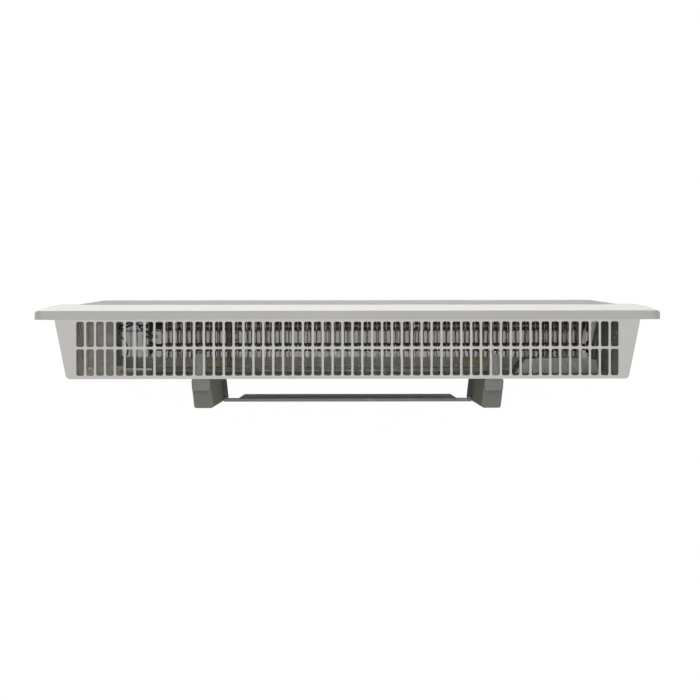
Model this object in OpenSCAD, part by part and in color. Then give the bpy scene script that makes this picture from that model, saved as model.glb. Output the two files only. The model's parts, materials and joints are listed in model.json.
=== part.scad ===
// Wall-mounted convector heater on its folded bracket.
// +Z is up and the front faces -Y. The wall is the plane Y = 0, and the origin is the centre of the
// bracket's four wall holes. Depths below are distances from the wall, so a depth d lies at Y = -d.

/* [Casing] */
// Height of the heater
casing_h = 413; // [360:1:460]
// Height of the heater's top above the centre of the wall holes
top_z = 225; // [220:1:240]
// Thickness of the casing's sheet steel
sheet = 1; // [0.8:0.1:1.5]
// Depth of the casing's back, which is the air gap behind it
back_gap = 29.7; // [26:0.1:36]
// Depth of the plane where the casing meets the front panel
flange_depth = 89.8; // [86:0.1:96]
// Width of the casing at the front panel
case_front_w = 592; // [560:1:680]
// Distance that each side of the casing leans inwards towards the back
case_taper = 12; // [8:0.5:14]
// Radius of the casing's two rear corners
rear_corner_r = 4.5; // [3:0.1:6]
// Width of the flanges that the front panel is screwed to
flange_w = 12; // [10:0.5:14]
// Distance of the flanges' ends from the top and the bottom of the casing
flange_end = 80; // [20:1:100]

/* [Front panel] */
// Distance that the panel reaches past the casing on each side
panel_overhang = 21.5; // [18:0.5:26]
// Depth of the panel's rim from its back plane to its front edge
rim_depth = 8.8; // [6:0.1:12]
// Rise of the panel's arch at mid height
arch_rise = 9; // [7:0.1:14]
// Radius of the panel's corners
panel_corner_r = 10; // [6:0.5:16]
// Radius of the rounded edge between the panel's front and its sides
panel_edge_r = 5; // [2:0.5:8]
// Rise of the field pressed into the panel
field_rise = 4.6; // [2:0.1:5]
// Distance of the field's ends from the top and the bottom of the panel
field_end = 125; // [70:1:140]
// Distance of the field's crest from the sides of the panel
field_margin = 54.5; // [46:0.5:80]
// Width of the ramp at each side of the field
field_ramp = 29; // [10:1:36]

/* [Top grille] */
// Least width of the plain sheet beside the rear row
top_margin = 9; // [6:0.5:30]
// Distance from slot to slot
top_pitch = 10; // [9.5:0.1:12]
// Width of one slot
top_slot_w = 7.8; // [6:0.1:8.2]
// Depth at which the rear row starts
top_rear_start = 33.1; // [32:0.1:35]
// Length of the rear row's slots
top_rear_len = 26.8; // [24:0.1:27.4]
// Width of the bar between the rows
top_mid_bar = 2.3; // [1.5:0.1:3]
// Length of the front row's slots
top_front_len = 25.4; // [20:0.1:26]
// Corner radius of the slots
slot_corner_r = 1.9; // [1:0.1:2.5]

/* [Bottom grille] */
// Least width of the plain sheet beside the rear row
low_margin = 3.4; // [3:0.1:20]
// Distance from slot to slot
low_pitch = 7.66; // [7:0.02:9]
// Width of one slot
low_slot_w = 6.1; // [4:0.1:6.3]
// Depth at which the rear row starts
low_rear_start = 44.6; // [40:0.1:46]
// Length of the rear row's slots
low_rear_len = 31.5; // [25:0.1:32]
// Width of the bar between the rows
low_mid_bar = 2; // [1.5:0.1:3]
// Length of the front row's slots
low_front_len = 9; // [5:0.1:9.6]

/* [Bracket] */
// Thickness of the bracket's sheet steel
bracket_t = 1.5; // [1.2:0.1:2]
// Half the distance between the arms at the wall
arm_inner = 136; // [130:0.5:140]
// Width of an arm at the wall
arm_w = 19.5; // [17:0.5:21]
// Amount that an arm leans outwards between the wall and the heater
arm_lean = 2.75; // [0:0.25:3.5]
// Length of an arm
arm_len = 234; // [220:1:260]
// Distance of the arms' top below the top of the heater
arm_drop = 6; // [5:0.1:8]
// Height of the plate between the arms
plate_h = 134; // [124:1:140]
// Distance of the plate's sides from the arms
plate_side_gap = 15.5; // [8:0.5:24]
// Height of the necks that join the plate to the arms
neck_h = 20; // [12:1:40]
// Depth of the plate, which is raised off the wall
pan_rise = 3.3; // [2.5:0.1:5]
// Distance between the wall holes across
hole_x = 200; // [120:1:220]
// Distance between the wall holes in height
hole_z = 100; // [80:1:110]
// Radius of a wall hole
hole_r = 3; // [2:0.1:3.5]
// Radius of the dish round a wall hole, whose floor lies on the wall
dish_r = 8; // [7:0.5:9]

/* [Hooks] */
// Width of a hook's foot on its arm
hook_foot_w = 18.5; // [16:0.5:19]
// Length of a hook's foot
hook_foot_len = 12; // [10:0.5:16]
// Width of a hook's tongue inside the heater
hook_tongue_w = 10; // [8:0.5:12]
// Reach of a hook's tongue into the heater
hook_reach = 25; // [20:0.5:30]
// Height of the turned-up tip of a hook
hook_tip = 2.2; // [1:0.1:2.4]
// Travel that lifts the heater clear of the hooks
lift_travel = 10; // [8:0.5:14]

/* [Heating element] */
// Distance of the heating rods below the top of the heater
rod_drop = 309; // [290:1:320]
// Radius of a heating rod
rod_r = 4.1; // [3.5:0.1:4.5]
// Depth of the front rod
rod_front = 83; // [80:0.5:84]
// Depth of the rear rod
rod_rear = 58; // [56:0.5:60]
// Room between the rods' right-hand end and the side of the casing
rod_gap_right = 56; // [54:1:80]
// Room between the rods' left-hand end and the side of the casing
rod_gap_left = 4; // [3.8:0.1:20]
// Bare length of a rod before its first fin, on the right
rod_bare = 11; // [9:0.5:16]
// Least bare length of a rod after its last fin, on the left
rod_bare_left = 5; // [3:0.5:12]
// Distance from fin to fin
fin_pitch = 5.46; // [4.6:0.02:8]
// Thickness of a fin
fin_t = 0.8; // [0.6:0.1:1.2]
// Height of a fin
fin_h = 30; // [26:1:36]
// Distance that the fins reach past the front rod
fin_reach_front = 2; // [1.2:0.1:3]
// Distance that the fins reach past the rear rod
fin_reach_rear = 8; // [5:0.1:9]
// Wall of the collars that space the fins
collar_t = 0.9; // [0.6:0.1:1]

/* [Controls] */
// Distance of the control fascia's centre below the top of the heater
fascia_drop = 148; // [140:1:150]
// Height of the control fascia
fascia_h = 92; // [88:1:96]
// Width of the control fascia
fascia_w = 42; // [38:0.5:44]
// Thickness of the control fascia
fascia_t = 2.5; // [2:0.1:3]
// Distance of the knob and of the switch from the fascia's centre
control_offset = 21; // [20:0.5:23]
// Radius of the thermostat knob
knob_r = 14; // [12:0.5:15]
// Height of the thermostat knob
knob_h = 10; // [8:0.5:11]
// Radius of the thermostat shaft
shaft_r = 3; // [2.5:0.1:3.5]
// Running clearance of the shafts and the pivots
running_gap = 0.05; // [0.03:0.01:0.09]
// Width of a rocker
rocker_w = 11; // [9:0.5:11.5]
// Height of a rocker
rocker_h = 19; // [16:0.5:21]
// Angle through which a rocker tilts
rocker_tilt = 20; // [14:1:22]

/* [Hidden] */

$fn = 48;
// Room left between bodies that move past each other
free_gap = 0.3;
case_depth = flange_depth - back_gap;
case_back_w = case_front_w - 2 * case_taper;
side_x = case_back_w / 2;
panel_w = case_front_w + 2 * panel_overhang;
field_w = panel_w - 2 * field_margin;
bottom_z = top_z - casing_h;
mid_z = top_z - casing_h / 2;
rim_front = flange_depth + rim_depth;
side_angle = atan(case_taper / case_depth);

// Half the width of the casing at a depth
function case_half(d) = side_x + (d - back_gap) * tan(side_angle);

// Points of an arc round c, from angle a to angle b
function arc(c, r, a, b, n = 6) =
    [for (i = [0:n]) c + r * [cos(a + (b - a) * i / n), sin(a + (b - a) * i / n)]];

// Outline of a rectangle with rounded corners, from lo to hi
function round_rect(lo, hi, r, n = 3) = concat(
    arc([hi[0] - r, hi[1] - r], r, 0, 90, n),
    arc([lo[0] + r, hi[1] - r], r, 90, 180, n),
    arc([lo[0] + r, lo[1] + r], r, 180, 270, n),
    arc([hi[0] - r, lo[1] + r], r, 270, 360, n));

// Outline of the casing in plan, drawn inwards by t, from its back to the depth front
function case_outline(t, front) =
    let (r = max(rear_corner_r - t, 0.5),
         y = -back_gap - t - r,
         x = case_half(-y) - t / cos(side_angle) - r / cos(side_angle))
    concat(
        [[case_half(front) - t / cos(side_angle), -front]],
        arc([x, y], r, side_angle, 90),
        arc([-x, y], r, 90, 180 - side_angle),
        [[-case_half(front) + t / cos(side_angle), -front]]);

// Places its children on both sides of the heater
module both_sides() {
    children();
    mirror([1, 0, 0]) children();
}

/* Casing */

slot_clear = 1;
hook_x = arm_inner + arm_lean + arm_w / 2;
hook_bottom = top_z - arm_drop;
hook_top = hook_bottom + bracket_t;
hook_window_w = hook_tongue_w + 2 * slot_clear;
hook_window_low = hook_bottom - lift_travel - slot_clear;
hook_window_high = hook_top + free_gap;

pocket_w = 94;
pocket_x1 = side_x - rear_corner_r - 0.5;
pocket_x0 = pocket_x1 - pocket_w;
pocket_drop = 176;
pocket_h = 60;
pocket_depth = 17;
pocket_lip = 5;

module hook_windows() {
    both_sides()
        translate([hook_x - hook_window_w / 2, -back_gap - sheet - 1, hook_window_low])
            cube([hook_window_w, sheet + 2, hook_window_high - hook_window_low]);
}

module rear_tray() {
    color("gainsboro") difference() {
        union() {
            difference() {
                translate([0, 0, bottom_z + sheet])
                    linear_extrude(casing_h - 2 * sheet)
                        polygon(case_outline(0, flange_depth));
                translate([0, 0, bottom_z])
                    linear_extrude(casing_h)
                        polygon(case_outline(sheet, flange_depth + 1));
            }
            both_sides()
                translate([case_half(flange_depth - sheet), -flange_depth, bottom_z + flange_end])
                    cube([flange_w, sheet, casing_h - 2 * flange_end]);
        }
        hook_windows();
        pocket_window();
        gland_hole();
        fascia_window();
        panel_screw_places()
            translate([0, 0, -2])
                cylinder(h = 4, r = screw_r + running_gap);
    }
    color("gainsboro") cover_lugs();
}

// Opening of the hand grip in the casing's back
module pocket_window() {
    translate([-pocket_x1 + pocket_lip, -back_gap - sheet - 1, top_z - pocket_drop - pocket_h + pocket_lip])
        cube([pocket_x1 - pocket_x0 - 2 * pocket_lip, sheet + 2, pocket_h - 2 * pocket_lip]);
}

// Plan of the hand grip: a low arch with one slanting end
function pocket_outline(t) =
    let (y0 = -back_gap - sheet,
         bow_r = 420,
         mid = (pocket_x0 + pocket_x1) / 2,
         half = (pocket_x1 - pocket_x0) / 2 - t)
    concat(
        [[-mid - half, y0]],
        [for (a = [-4:1:4])
            let (x = -mid + a / 4 * (half - 8) - 4)
            [x, y0 - pocket_depth + t + bow_r - sqrt(bow_r * bow_r - (x + mid) * (x + mid))]],
        [[-mid + half, y0]]);

module grip_pocket() {
    color("darkgray") difference() {
        translate([0, 0, top_z - pocket_drop - pocket_h])
            linear_extrude(pocket_h)
                polygon(pocket_outline(0));
        translate([0, 0, top_z - pocket_drop - pocket_h + sheet])
            linear_extrude(pocket_h - 2 * sheet)
                difference() {
                    polygon(pocket_outline(sheet));
                    translate([-pocket_x1 - 1, -back_gap - sheet])
                        square([pocket_x1 - pocket_x0 + 2, sheet]);
                }
    }
}

// Number of slots at a pitch that a row at depth start takes beside its margins
function slot_count(pitch, start, margin) = floor((2 * case_half(start) - 2 * margin) / pitch);

top_slots = slot_count(top_pitch, top_rear_start, top_margin);
low_slots = slot_count(low_pitch, low_rear_start, low_margin);

// A row of slots in the grille's plan, from depth start over a length
module slot_row(count, pitch, w, start, len, r) {
    for (i = [0:count - 1])
        let (x = (i - (count - 1) / 2) * pitch)
        polygon(round_rect([x - w / 2, -start - len], [x + w / 2, -start], r));
}

module top_grille() {
    color("gainsboro")
        translate([0, 0, top_z - sheet])
            linear_extrude(sheet)
                difference() {
                    polygon(case_outline(0, flange_depth));
                    slot_row(top_slots, top_pitch, top_slot_w, top_rear_start, top_rear_len, slot_corner_r);
                    slot_row(top_slots, top_pitch, top_slot_w,
                        top_rear_start + top_rear_len + top_mid_bar, top_front_len, slot_corner_r);
                }
}

module bottom_grille() {
    color("gainsboro")
        translate([0, 0, bottom_z])
            linear_extrude(sheet)
                difference() {
                    polygon(case_outline(0, flange_depth));
                    slot_row(low_slots, low_pitch, low_slot_w, low_rear_start, low_rear_len, slot_corner_r);
                    slot_row(low_slots, low_pitch, low_slot_w,
                        low_rear_start + low_rear_len + low_mid_bar, low_front_len, slot_corner_r);
                }
}

/* Front panel */

arch_r = (casing_h * casing_h / 4 + arch_rise * arch_rise) / 2 / arch_rise;
arch_axis_depth = rim_front + arch_rise - arch_r;
field_angle = 2 * asin((casing_h / 2 - field_end) / arch_r);
screw_r = 2;
screw_len = 5;
screw_head_r = 3.6;
screw_head_h = 1.8;
cross_len = 4.8;
cross_w = 0.8;
cross_deep = 0.8;
screw_end = flange_end + 12;
screw_edge = 1.4;
screw_x = case_half(flange_depth) + flange_w - screw_head_r - screw_edge;

// Block with the panel's rounded outline, drawn inwards by t, from a back depth to well past the arch
module panel_block(t, back) {
    translate([0, -back, 0]) rotate([90, 0, 0])
        linear_extrude(60)
            polygon(round_rect(
                [-panel_w / 2 + t, bottom_z + t],
                [panel_w / 2 - t, top_z - t],
                panel_corner_r - t, 6));
}

// Barrel with rounded edges whose front is the panel's arch, drawn inwards by t
module arch_barrel(t) {
    r = arch_r - t;
    half = panel_w / 2 - t;
    edge = panel_edge_r - t;
    translate([0, -arch_axis_depth, mid_z]) rotate([0, 90, 0])
        rotate_extrude($fn = 720)
            polygon(concat(
                [[0, -half]],
                arc([r - edge, -half + edge], edge, -90, 0, 5),
                arc([r - edge, half - edge], edge, 0, 90, 5),
                [[0, half]]));
}

// Raised field, a shallow ramped crest that follows the arch, drawn inwards by t
module field_crest(t) {
    half = field_w / 2;
    root = arch_r - t - 3;
    crest = arch_r + field_rise - t;
    slope = field_ramp / field_rise;
    translate([0, -arch_axis_depth, mid_z])
        rotate([0, 90, 0])
            rotate([0, 0, -90 - field_angle / 2 + t / arch_r * 57.3])
                rotate_extrude(angle = field_angle - 2 * t / arch_r * 57.3, $fn = 720)
                    polygon([
                        [root, -half - slope * (crest - root) + t],
                        [crest, -half + t],
                        [crest, half - t],
                        [root, half + slope * (crest - root) - t]]);
}

// Places its children at the screws of the front panel, with +Z along the screw towards the wall
module panel_screw_places() {
    both_sides()
        for (z = [bottom_z + screw_end, mid_z, top_z - screw_end])
            translate([screw_x, -flange_depth + sheet, z])
                rotate([-90, 0, 0])
                    children();
}

module front_panel() {
    color("whitesmoke") difference() {
        intersection() {
            panel_block(0, flange_depth);
            union() {
                arch_barrel(0);
                field_crest(0);
            }
        }
        intersection() {
            panel_block(sheet, flange_depth + sheet);
            union() {
                arch_barrel(sheet);
                field_crest(sheet);
            }
        }
        translate([-case_front_w / 2 + sheet, -flange_depth - sheet - 1, bottom_z + sheet])
            cube([case_front_w - 2 * sheet, sheet + 2, casing_h - 2 * sheet]);
        panel_screw_places()
            translate([0, 0, -sheet - 2])
                cylinder(h = sheet + 2, r = screw_r + running_gap);
    }
}

module panel_screws() {
    color("silver") panel_screw_places() {
        translate([0, 0, -screw_len])
            cylinder(h = screw_len, r = screw_r);
        difference() {
            cylinder(h = screw_head_h, r1 = screw_head_r, r2 = screw_head_r - 0.8);
            for (a = [0, 90])
                rotate([0, 0, a]) translate([-cross_len / 2, -cross_w / 2, screw_head_h - cross_deep])
                    cube([cross_len, cross_w, cross_deep + 1]);
        }
    }
}

/* Bracket */

arm_depth = back_gap - free_gap;
arm_corner_r = 2.5;
arm_edge = 5;

// Plan of the right arm drawn inwards by t, from the wall out to its web
function arm_outline(t) =
    let (x0 = arm_inner + t,
         x1 = arm_inner + arm_w - t,
         front = -arm_depth + t,
         r = arm_corner_r - t)
    concat(
        arc([x1 - r, -t - r], r, 0, 90, 4),
        arc([x0 + r, -t - r], r, 90, 180, 4),
        arc([x0 + arm_lean + r, front + r], r, 180, 270, 4),
        arc([x1 + arm_lean - r, front + r], r, 270, 360, 4));

module arm() {
    top = top_z - arm_drop;
    difference() {
        translate([0, 0, top - arm_len])
            linear_extrude(arm_len)
                polygon(arm_outline(0));
        translate([0, 0, top - arm_len - bracket_t])
            linear_extrude(arm_len)
                polygon(arm_outline(bracket_t));
        translate([arm_inner + arm_edge, -bracket_t - 1, top - arm_len - bracket_t])
            cube([arm_w - 2 * arm_edge, bracket_t + 2, arm_len]);
    }
}

module bracket_arm_right() {
    color("dimgray") arm();
}

module bracket_arm_left() {
    color("dimgray") mirror([1, 0, 0]) arm();
}

// Places its children at the wall holes, with +Z pointing away from the wall
module wall_hole_places() {
    for (x = [-1, 1], z = [-1, 1])
        translate([x * hole_x / 2, 0, z * hole_z / 2])
            rotate([90, 0, 0])
                children();
}

module bracket_plate() {
    pan_half = arm_inner - plate_side_gap;
    high = plate_h / 2;
    color("dimgray") difference() {
        union() {
            difference() {
                union() {
                    translate([-pan_half, -pan_rise, -high])
                        cube([2 * pan_half, pan_rise, plate_h]);
                    translate([-arm_inner, -pan_rise, high - neck_h])
                        cube([2 * arm_inner, pan_rise, neck_h]);
                }
                translate([-pan_half + bracket_t, -pan_rise + bracket_t, -high + bracket_t])
                    cube([2 * (pan_half - bracket_t), pan_rise, plate_h - 2 * bracket_t]);
                translate([-arm_inner - 1, -pan_rise + bracket_t, high - neck_h + bracket_t])
                    cube([2 * arm_inner + 2, pan_rise, neck_h - 2 * bracket_t]);
            }
            wall_hole_places()
                cylinder(h = pan_rise, r = dish_r);
        }
        wall_hole_places() {
            translate([0, 0, bracket_t])
                cylinder(h = pan_rise, r = dish_r - bracket_t);
            translate([0, 0, -1])
                cylinder(h = pan_rise, r = hole_r);
        }
    }
}

// A hook: a foot that lies on the arm, a narrower tongue and its turned-up tip
module hook() {
    foot_r = 2.5;
    foot_back = -back_gap + hook_foot_len;
    translate([0, 0, hook_bottom]) {
        linear_extrude(bracket_t) {
            polygon(concat(
                arc([hook_x + hook_foot_w / 2 - foot_r, foot_back - foot_r], foot_r, 0, 90, 4),
                arc([hook_x - hook_foot_w / 2 + foot_r, foot_back - foot_r], foot_r, 90, 180, 4),
                [[hook_x - hook_foot_w / 2, -back_gap + free_gap],
                 [hook_x - hook_tongue_w / 2, -back_gap + free_gap],
                 [hook_x - hook_tongue_w / 2, -back_gap - hook_reach],
                 [hook_x + hook_tongue_w / 2, -back_gap - hook_reach],
                 [hook_x + hook_tongue_w / 2, -back_gap + free_gap],
                 [hook_x + hook_foot_w / 2, -back_gap + free_gap]]));
        }
        translate([hook_x - hook_tongue_w / 2, -back_gap - hook_reach, 0])
            cube([hook_tongue_w, bracket_t, bracket_t + hook_tip]);
    }
}

module hook_right() {
    color("lightslategray") hook();
}

module hook_left() {
    color("lightslategray") mirror([1, 0, 0]) hook();
}

// Angle inside the casing's lower rear edge, where the heater is steadied
catch_x0 = 136;
catch_x1 = 176;
catch_h = 60;
catch_w = 10;

module lower_catch() {
    translate([catch_x0, -back_gap - sheet - bracket_t, bottom_z + sheet])
        cube([catch_x1 - catch_x0, bracket_t, catch_h]);
    translate([catch_x0, -back_gap - sheet - catch_w, bottom_z + sheet])
        cube([catch_x1 - catch_x0, catch_w, bracket_t]);
}

module lower_catch_right() {
    color("darkolivegreen") lower_catch();
}

module lower_catch_left() {
    color("darkolivegreen") mirror([1, 0, 0]) lower_catch();
}

/* Air duct */

shield_t = 0.8;
shield_stand = 5;
rear_shield_depth = back_gap + sheet + shield_stand;
front_shield_depth = flange_depth + sheet;
shield_margin = 20;
shield_gap = 5;
shield_right = side_x - 60;
shield_left = side_x - 8;

// Plate over the lower part of the casing's back, with its top and bottom edges folded onto the back
module rear_shield() {
    z0 = bottom_z + sheet + catch_h + shield_gap;
    z1 = top_z - pocket_drop - pocket_h - shield_gap;
    w = shield_left + shield_right;
    color("slategray") translate([-shield_left, -rear_shield_depth, 0]) {
        translate([0, 0, z0])
            cube([w, shield_t, z1 - z0]);
        for (z = [z0, z1 - shield_t])
            translate([0, 0, z])
                cube([w, shield_stand, shield_t]);
    }
}

// Plate that lies inside the front panel on its back edge
module front_shield() {
    half = case_front_w / 2 + 3;
    color("slategray")
        translate([-half, -front_shield_depth - shield_t, bottom_z + shield_margin])
            cube([2 * half, shield_t, casing_h - 2 * shield_margin]);
}

/* Heating element */

rod_z = top_z - rod_drop;
rod_mid = (rod_front + rod_rear) / 2;
rod_right = side_x - rod_gap_right;
rod_left = side_x - rod_gap_left;
fins = floor((rod_left + rod_right - rod_bare - rod_bare_left) / fin_pitch) + 1;
fin_first = rod_right - rod_bare;
support_t = 1.2;
support_h = 26;
support_rear = 46;
support_foot = 9;
support_place = 5.4;
bush_r = 6.2;
bush_flange_r = 7.4;
bush_flange_t = 2.2;
bush_start = 1.4;
bush_end = 7;
terminal_r = 1.6;
terminal_right = 14;
terminal_left = 7.8;
post_len = 18;
link_half = 4;
nut_r = 3.4;
nut_t = 2;
link_t = 0.8;
nut_x = rod_right + bush_end + 0.6;

// One fin in its own plane, front to the right: notched between the rods, so that it is a low X
module fin_shape() {
    front = rod_front - rod_mid + rod_r + fin_reach_front;
    rear = rod_rear - rod_mid - rod_r - fin_reach_rear;
    h = fin_h / 2;
    notch = h * 0.55;
    difference() {
        polygon([
            [rear, h], [rear * 0.4, h], [0, notch], [front * 0.45, h], [front, h],
            [front, h * 0.5], [front - 1.5, 0], [front, -h * 0.5],
            [front, -h], [front * 0.45, -h], [0, -notch], [rear * 0.4, -h], [rear, -h],
            [rear, -h * 0.5], [rear + 4, 0], [rear, h * 0.5]]);
        for (d = [rod_front, rod_rear])
            translate([d - rod_mid, 0])
                circle(r = rod_r + running_gap);
    }
}

module element_fins() {
    collar_len = (fins - 1) * fin_pitch + fin_t;
    color("gray") translate([fin_first, -rod_mid, rod_z]) rotate([90, 0, -90]) {
        for (i = [0:fins - 1])
            translate([0, 0, i * fin_pitch])
                linear_extrude(fin_t)
                    fin_shape();
        for (d = [rod_front, rod_rear])
            translate([d - rod_mid, 0, 0])
                linear_extrude(collar_len)
                    difference() {
                        circle(r = rod_r + running_gap + collar_t);
                        circle(r = rod_r + running_gap);
                    }
    }
}

module heating_rod(depth) {
    translate([-rod_left, -depth, rod_z]) rotate([0, 90, 0])
        cylinder(h = rod_left + rod_right, r = rod_r);
    translate([-rod_left - terminal_left, -depth, rod_z]) rotate([0, 90, 0])
        cylinder(h = rod_left + rod_right + terminal_left + terminal_right, r = terminal_r);
}

module heating_rod_front() {
    color("saddlebrown") heating_rod(rod_front);
}

module heating_rod_rear() {
    color("saddlebrown") heating_rod(rod_rear);
}

// A ceramic bush on the end of a rod, with +X pointing outwards and a flange inside the support
module bush() {
    rotate([0, 90, 0]) difference() {
        union() {
            translate([0, 0, bush_start])
                cylinder(h = bush_end - bush_start, r = bush_r);
            translate([0, 0, support_place - support_t / 2 - bush_flange_t])
                cylinder(h = bush_flange_t, r = bush_flange_r);
        }
        cylinder(h = bush_end + 1, r = terminal_r + running_gap);
    }
}

module ceramic_bushes() {
    color("linen")
        for (d = [rod_front, rod_rear]) {
            translate([rod_right, -d, rod_z])
                bush();
            translate([-rod_left, -d, rod_z])
                mirror([1, 0, 0])
                    bush();
        }
}

module terminal_nuts() {
    color("goldenrod")
        for (d = [rod_front, rod_rear])
            translate([nut_x, -d, rod_z]) rotate([0, 90, 0]) difference() {
                cylinder(h = nut_t, r = nut_r, $fn = 6);
                translate([0, 0, -1])
                    cylinder(h = nut_t + 2, r = terminal_r + running_gap);
            }
}

// Support at an end of the rods: an upright strap whose foot lies on the front shield
module element_support(x, foot_side) {
    front = front_shield_depth;
    difference() {
        translate([x - support_t / 2, -front, rod_z - support_h / 2])
            cube([support_t, front - support_rear, support_h]);
        for (d = [rod_front, rod_rear])
            translate([x - 1, -d, rod_z]) rotate([0, 90, 0])
                cylinder(h = 2, r = bush_r + running_gap);
        translate([x - 1, -rod_mid, rod_z]) rotate([0, 90, 0])
            cylinder(h = 2, r = terminal_r + running_gap);
    }
    translate([x - (foot_side < 0 ? support_foot : 0), -front, rod_z - support_h / 2])
        cube([support_foot, support_t, support_h]);
}

module element_support_right() {
    color("darkslategray") element_support(rod_right + support_place, 1);
}

module element_support_left() {
    color("darkslategray") element_support(-rod_left - support_place, -1);
}

/* Element's terminals and the overheat protection */

// Terminal post in the middle of the right-hand support, with a nut on each side of it
module centre_terminal() {
    x = rod_right + support_place;
    color("goldenrod") translate([0, -rod_mid, rod_z]) rotate([0, 90, 0]) {
        translate([0, 0, x - post_len / 2])
            cylinder(h = post_len, r = terminal_r);
        for (side = [-nut_t - support_t / 2, support_t / 2])
            translate([0, 0, x + side])
                cylinder(h = nut_t, r = nut_r, $fn = 6);
    }
}

// Flat link between two terminals that lie one behind the other, at the depths a and b
module link_plate(x, a, b) {
    difference() {
        translate([x, -b - link_half, rod_z - link_half])
            cube([link_t, b - a + 2 * link_half, 2 * link_half]);
        for (d = [a, b])
            translate([x - 1, -d, rod_z]) rotate([0, 90, 0])
                cylinder(h = link_t + 2, r = terminal_r + running_gap);
    }
}

module post_link() {
    color("peru") link_plate(nut_x + nut_t + 0.1, rod_rear, rod_mid);
}

module jumper_link() {
    color("peru") link_plate(-rod_left - 0.4 - link_t, rod_rear, rod_front);
}

strap_x = 138;
strap_w = 5;
strap_t = 1.2;
strap_foot = 14;
strap_z = rod_z + fin_h / 2 + 12;
cutout_w = 8;
cutout_len = 16;
cutout_h = 6;
tab_len = 4;
tab_w = 2;
tab_t = 0.8;

// Strap across the duct above the fins, from the front shield to a foot on the rear shield
module cutout_strap() {
    color("darkslategray") {
        translate([strap_x - strap_w / 2, -front_shield_depth, strap_z])
            cube([strap_w, front_shield_depth - rear_shield_depth, strap_t]);
        translate([strap_x - strap_w / 2, -rear_shield_depth - strap_t, strap_z - strap_foot])
            cube([strap_w, strap_t, strap_foot]);
    }
}

module thermal_cutout() {
    color("black") {
        translate([strap_x - cutout_w / 2, -rod_mid - cutout_len / 2, strap_z - cutout_h])
            cube([cutout_w, cutout_len, cutout_h]);
        for (y = [-5, 3])
            translate([strap_x - cutout_w / 2 - tab_len, -rod_mid + y, strap_z - cutout_h + 1])
                cube([tab_len + 1, tab_w, tab_t]);
    }
}

/* Control compartment */

cover_drop = 8;
cover_x = side_x - 50;
wall_x = side_x - 32;
compartment_h = 192;
cover_lip = 6;
cover_ear = 9;
cover_screw_x = [side_x - 23.4, side_x - 54.7];
cover_screw_depth = 37.5;
cover_screw_r = 1.5;
cover_screw_len = 6;
cover_head_r = 2.6;
cover_head_h = 1.6;
lug_w = 7;
lug_len = 12;
wire_hole_r = 6;
wire_hole_depth = 80;
wire_hole_drop = 170;

// Part of the casing's inner plan that lies to the right of x
module compartment_plan(x) {
    intersection() {
        polygon(case_outline(sheet, flange_depth - 1));
        translate([x, -flange_depth])
            square([100, 100]);
    }
}

module compartment_cover() {
    color("dimgray") difference() {
        union() {
            translate([0, 0, top_z - cover_drop - sheet])
                linear_extrude(sheet)
                    compartment_plan(cover_x);
            translate([cover_x, -flange_depth + 1, top_z - cover_drop - cover_lip])
                cube([sheet, case_depth - 1 - sheet, cover_lip - sheet / 2]);
            translate([cover_x - cover_ear, -back_gap - sheet - lug_len, top_z - cover_drop - sheet])
                cube([cover_ear + 1, lug_len, sheet]);
        }
        cover_screw_places()
            translate([0, 0, -sheet - 1])
                cylinder(h = sheet + 2, r = cover_screw_r + running_gap);
    }
}

module compartment_wall() {
    top = top_z - cover_drop - sheet;
    low = top_z - compartment_h;
    color("darkgray") difference() {
        union() {
            translate([wall_x, -flange_depth + 1, low])
                cube([sheet, case_depth - 1 - sheet, top - low]);
            translate([0, 0, low])
                linear_extrude(sheet)
                    compartment_plan(wall_x);
        }
        translate([wall_x - 1, -wire_hole_depth, top_z - wire_hole_drop]) rotate([0, 90, 0])
            cylinder(h = 3, r = wire_hole_r);
        translate([capillary_x, -capillary_depth, low - 1])
            cylinder(h = 3, r = capillary_r + capillary_room);
    }
}

// Places its children on the cover's upper face at its screws
module cover_screw_places() {
    for (x = cover_screw_x)
        translate([x, -cover_screw_depth, top_z - cover_drop])
            children();
}

// Lugs on the casing's back that the cover is screwed to
module cover_lugs() {
    difference() {
        for (x = cover_screw_x)
            translate([x - lug_w / 2, -back_gap - sheet - lug_len, top_z - cover_drop - 2 * sheet])
                cube([lug_w, lug_len + sheet / 2, sheet]);
        cover_screw_places()
            translate([0, 0, -3 * sheet])
                cylinder(h = 3 * sheet, r = cover_screw_r + running_gap);
    }
}

module cover_screws() {
    color("goldenrod") cover_screw_places() {
        translate([0, 0, -cover_screw_len])
            cylinder(h = cover_screw_len, r = cover_screw_r);
        difference() {
            cylinder(h = cover_head_h, r = cover_head_r);
            translate([-cover_head_r - 1, -cross_w / 2, cover_head_h - cross_deep])
                cube([2 * cover_head_r + 2, cross_w, cross_deep + 1]);
        }
    }
}

/* Controls on the right-hand side */

side_depth = (back_gap + flange_depth) / 2;
fascia_z = top_z - fascia_drop;
knob_z = fascia_z + control_offset;
switch_z = fascia_z - control_offset;
bush_outer_r = 4.5;
shaft_in = 12;
knob_gap = 0.5;
thermostat_w = 28;
thermostat_t = 17.9;
thermostat_in = 20;
knob_skirt = 2.5;
knob_roof = 3;
pointer_w = 1.6;
pointer_deep = 0.8;
grip_r = 0.7;
grip_step = 15;
rocker_pivot = 1;
rocker_pin_r = 1.2;
rocker_rib = 2;
bezel_t = 1;
switch_wall = 1.2;
switch_half_w = rocker_rib / 2 + rocker_w + 2 * free_gap + switch_wall;
switch_half_h = rocker_h / 2 + 1.2 + switch_wall;
switch_depth = 20;
bezel_w = 1.5;
blade_len = 7;
blade_w = 4.8;
blade_t = 0.8;
blade_y = 6;
blade_z = 5;
well_depth = 7;

// Places its children on the side wall at a height, with +X pointing out of the wall
module on_side(z) {
    translate([case_half(side_depth), -side_depth, z])
        rotate([0, 0, side_angle])
            children();
}

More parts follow.
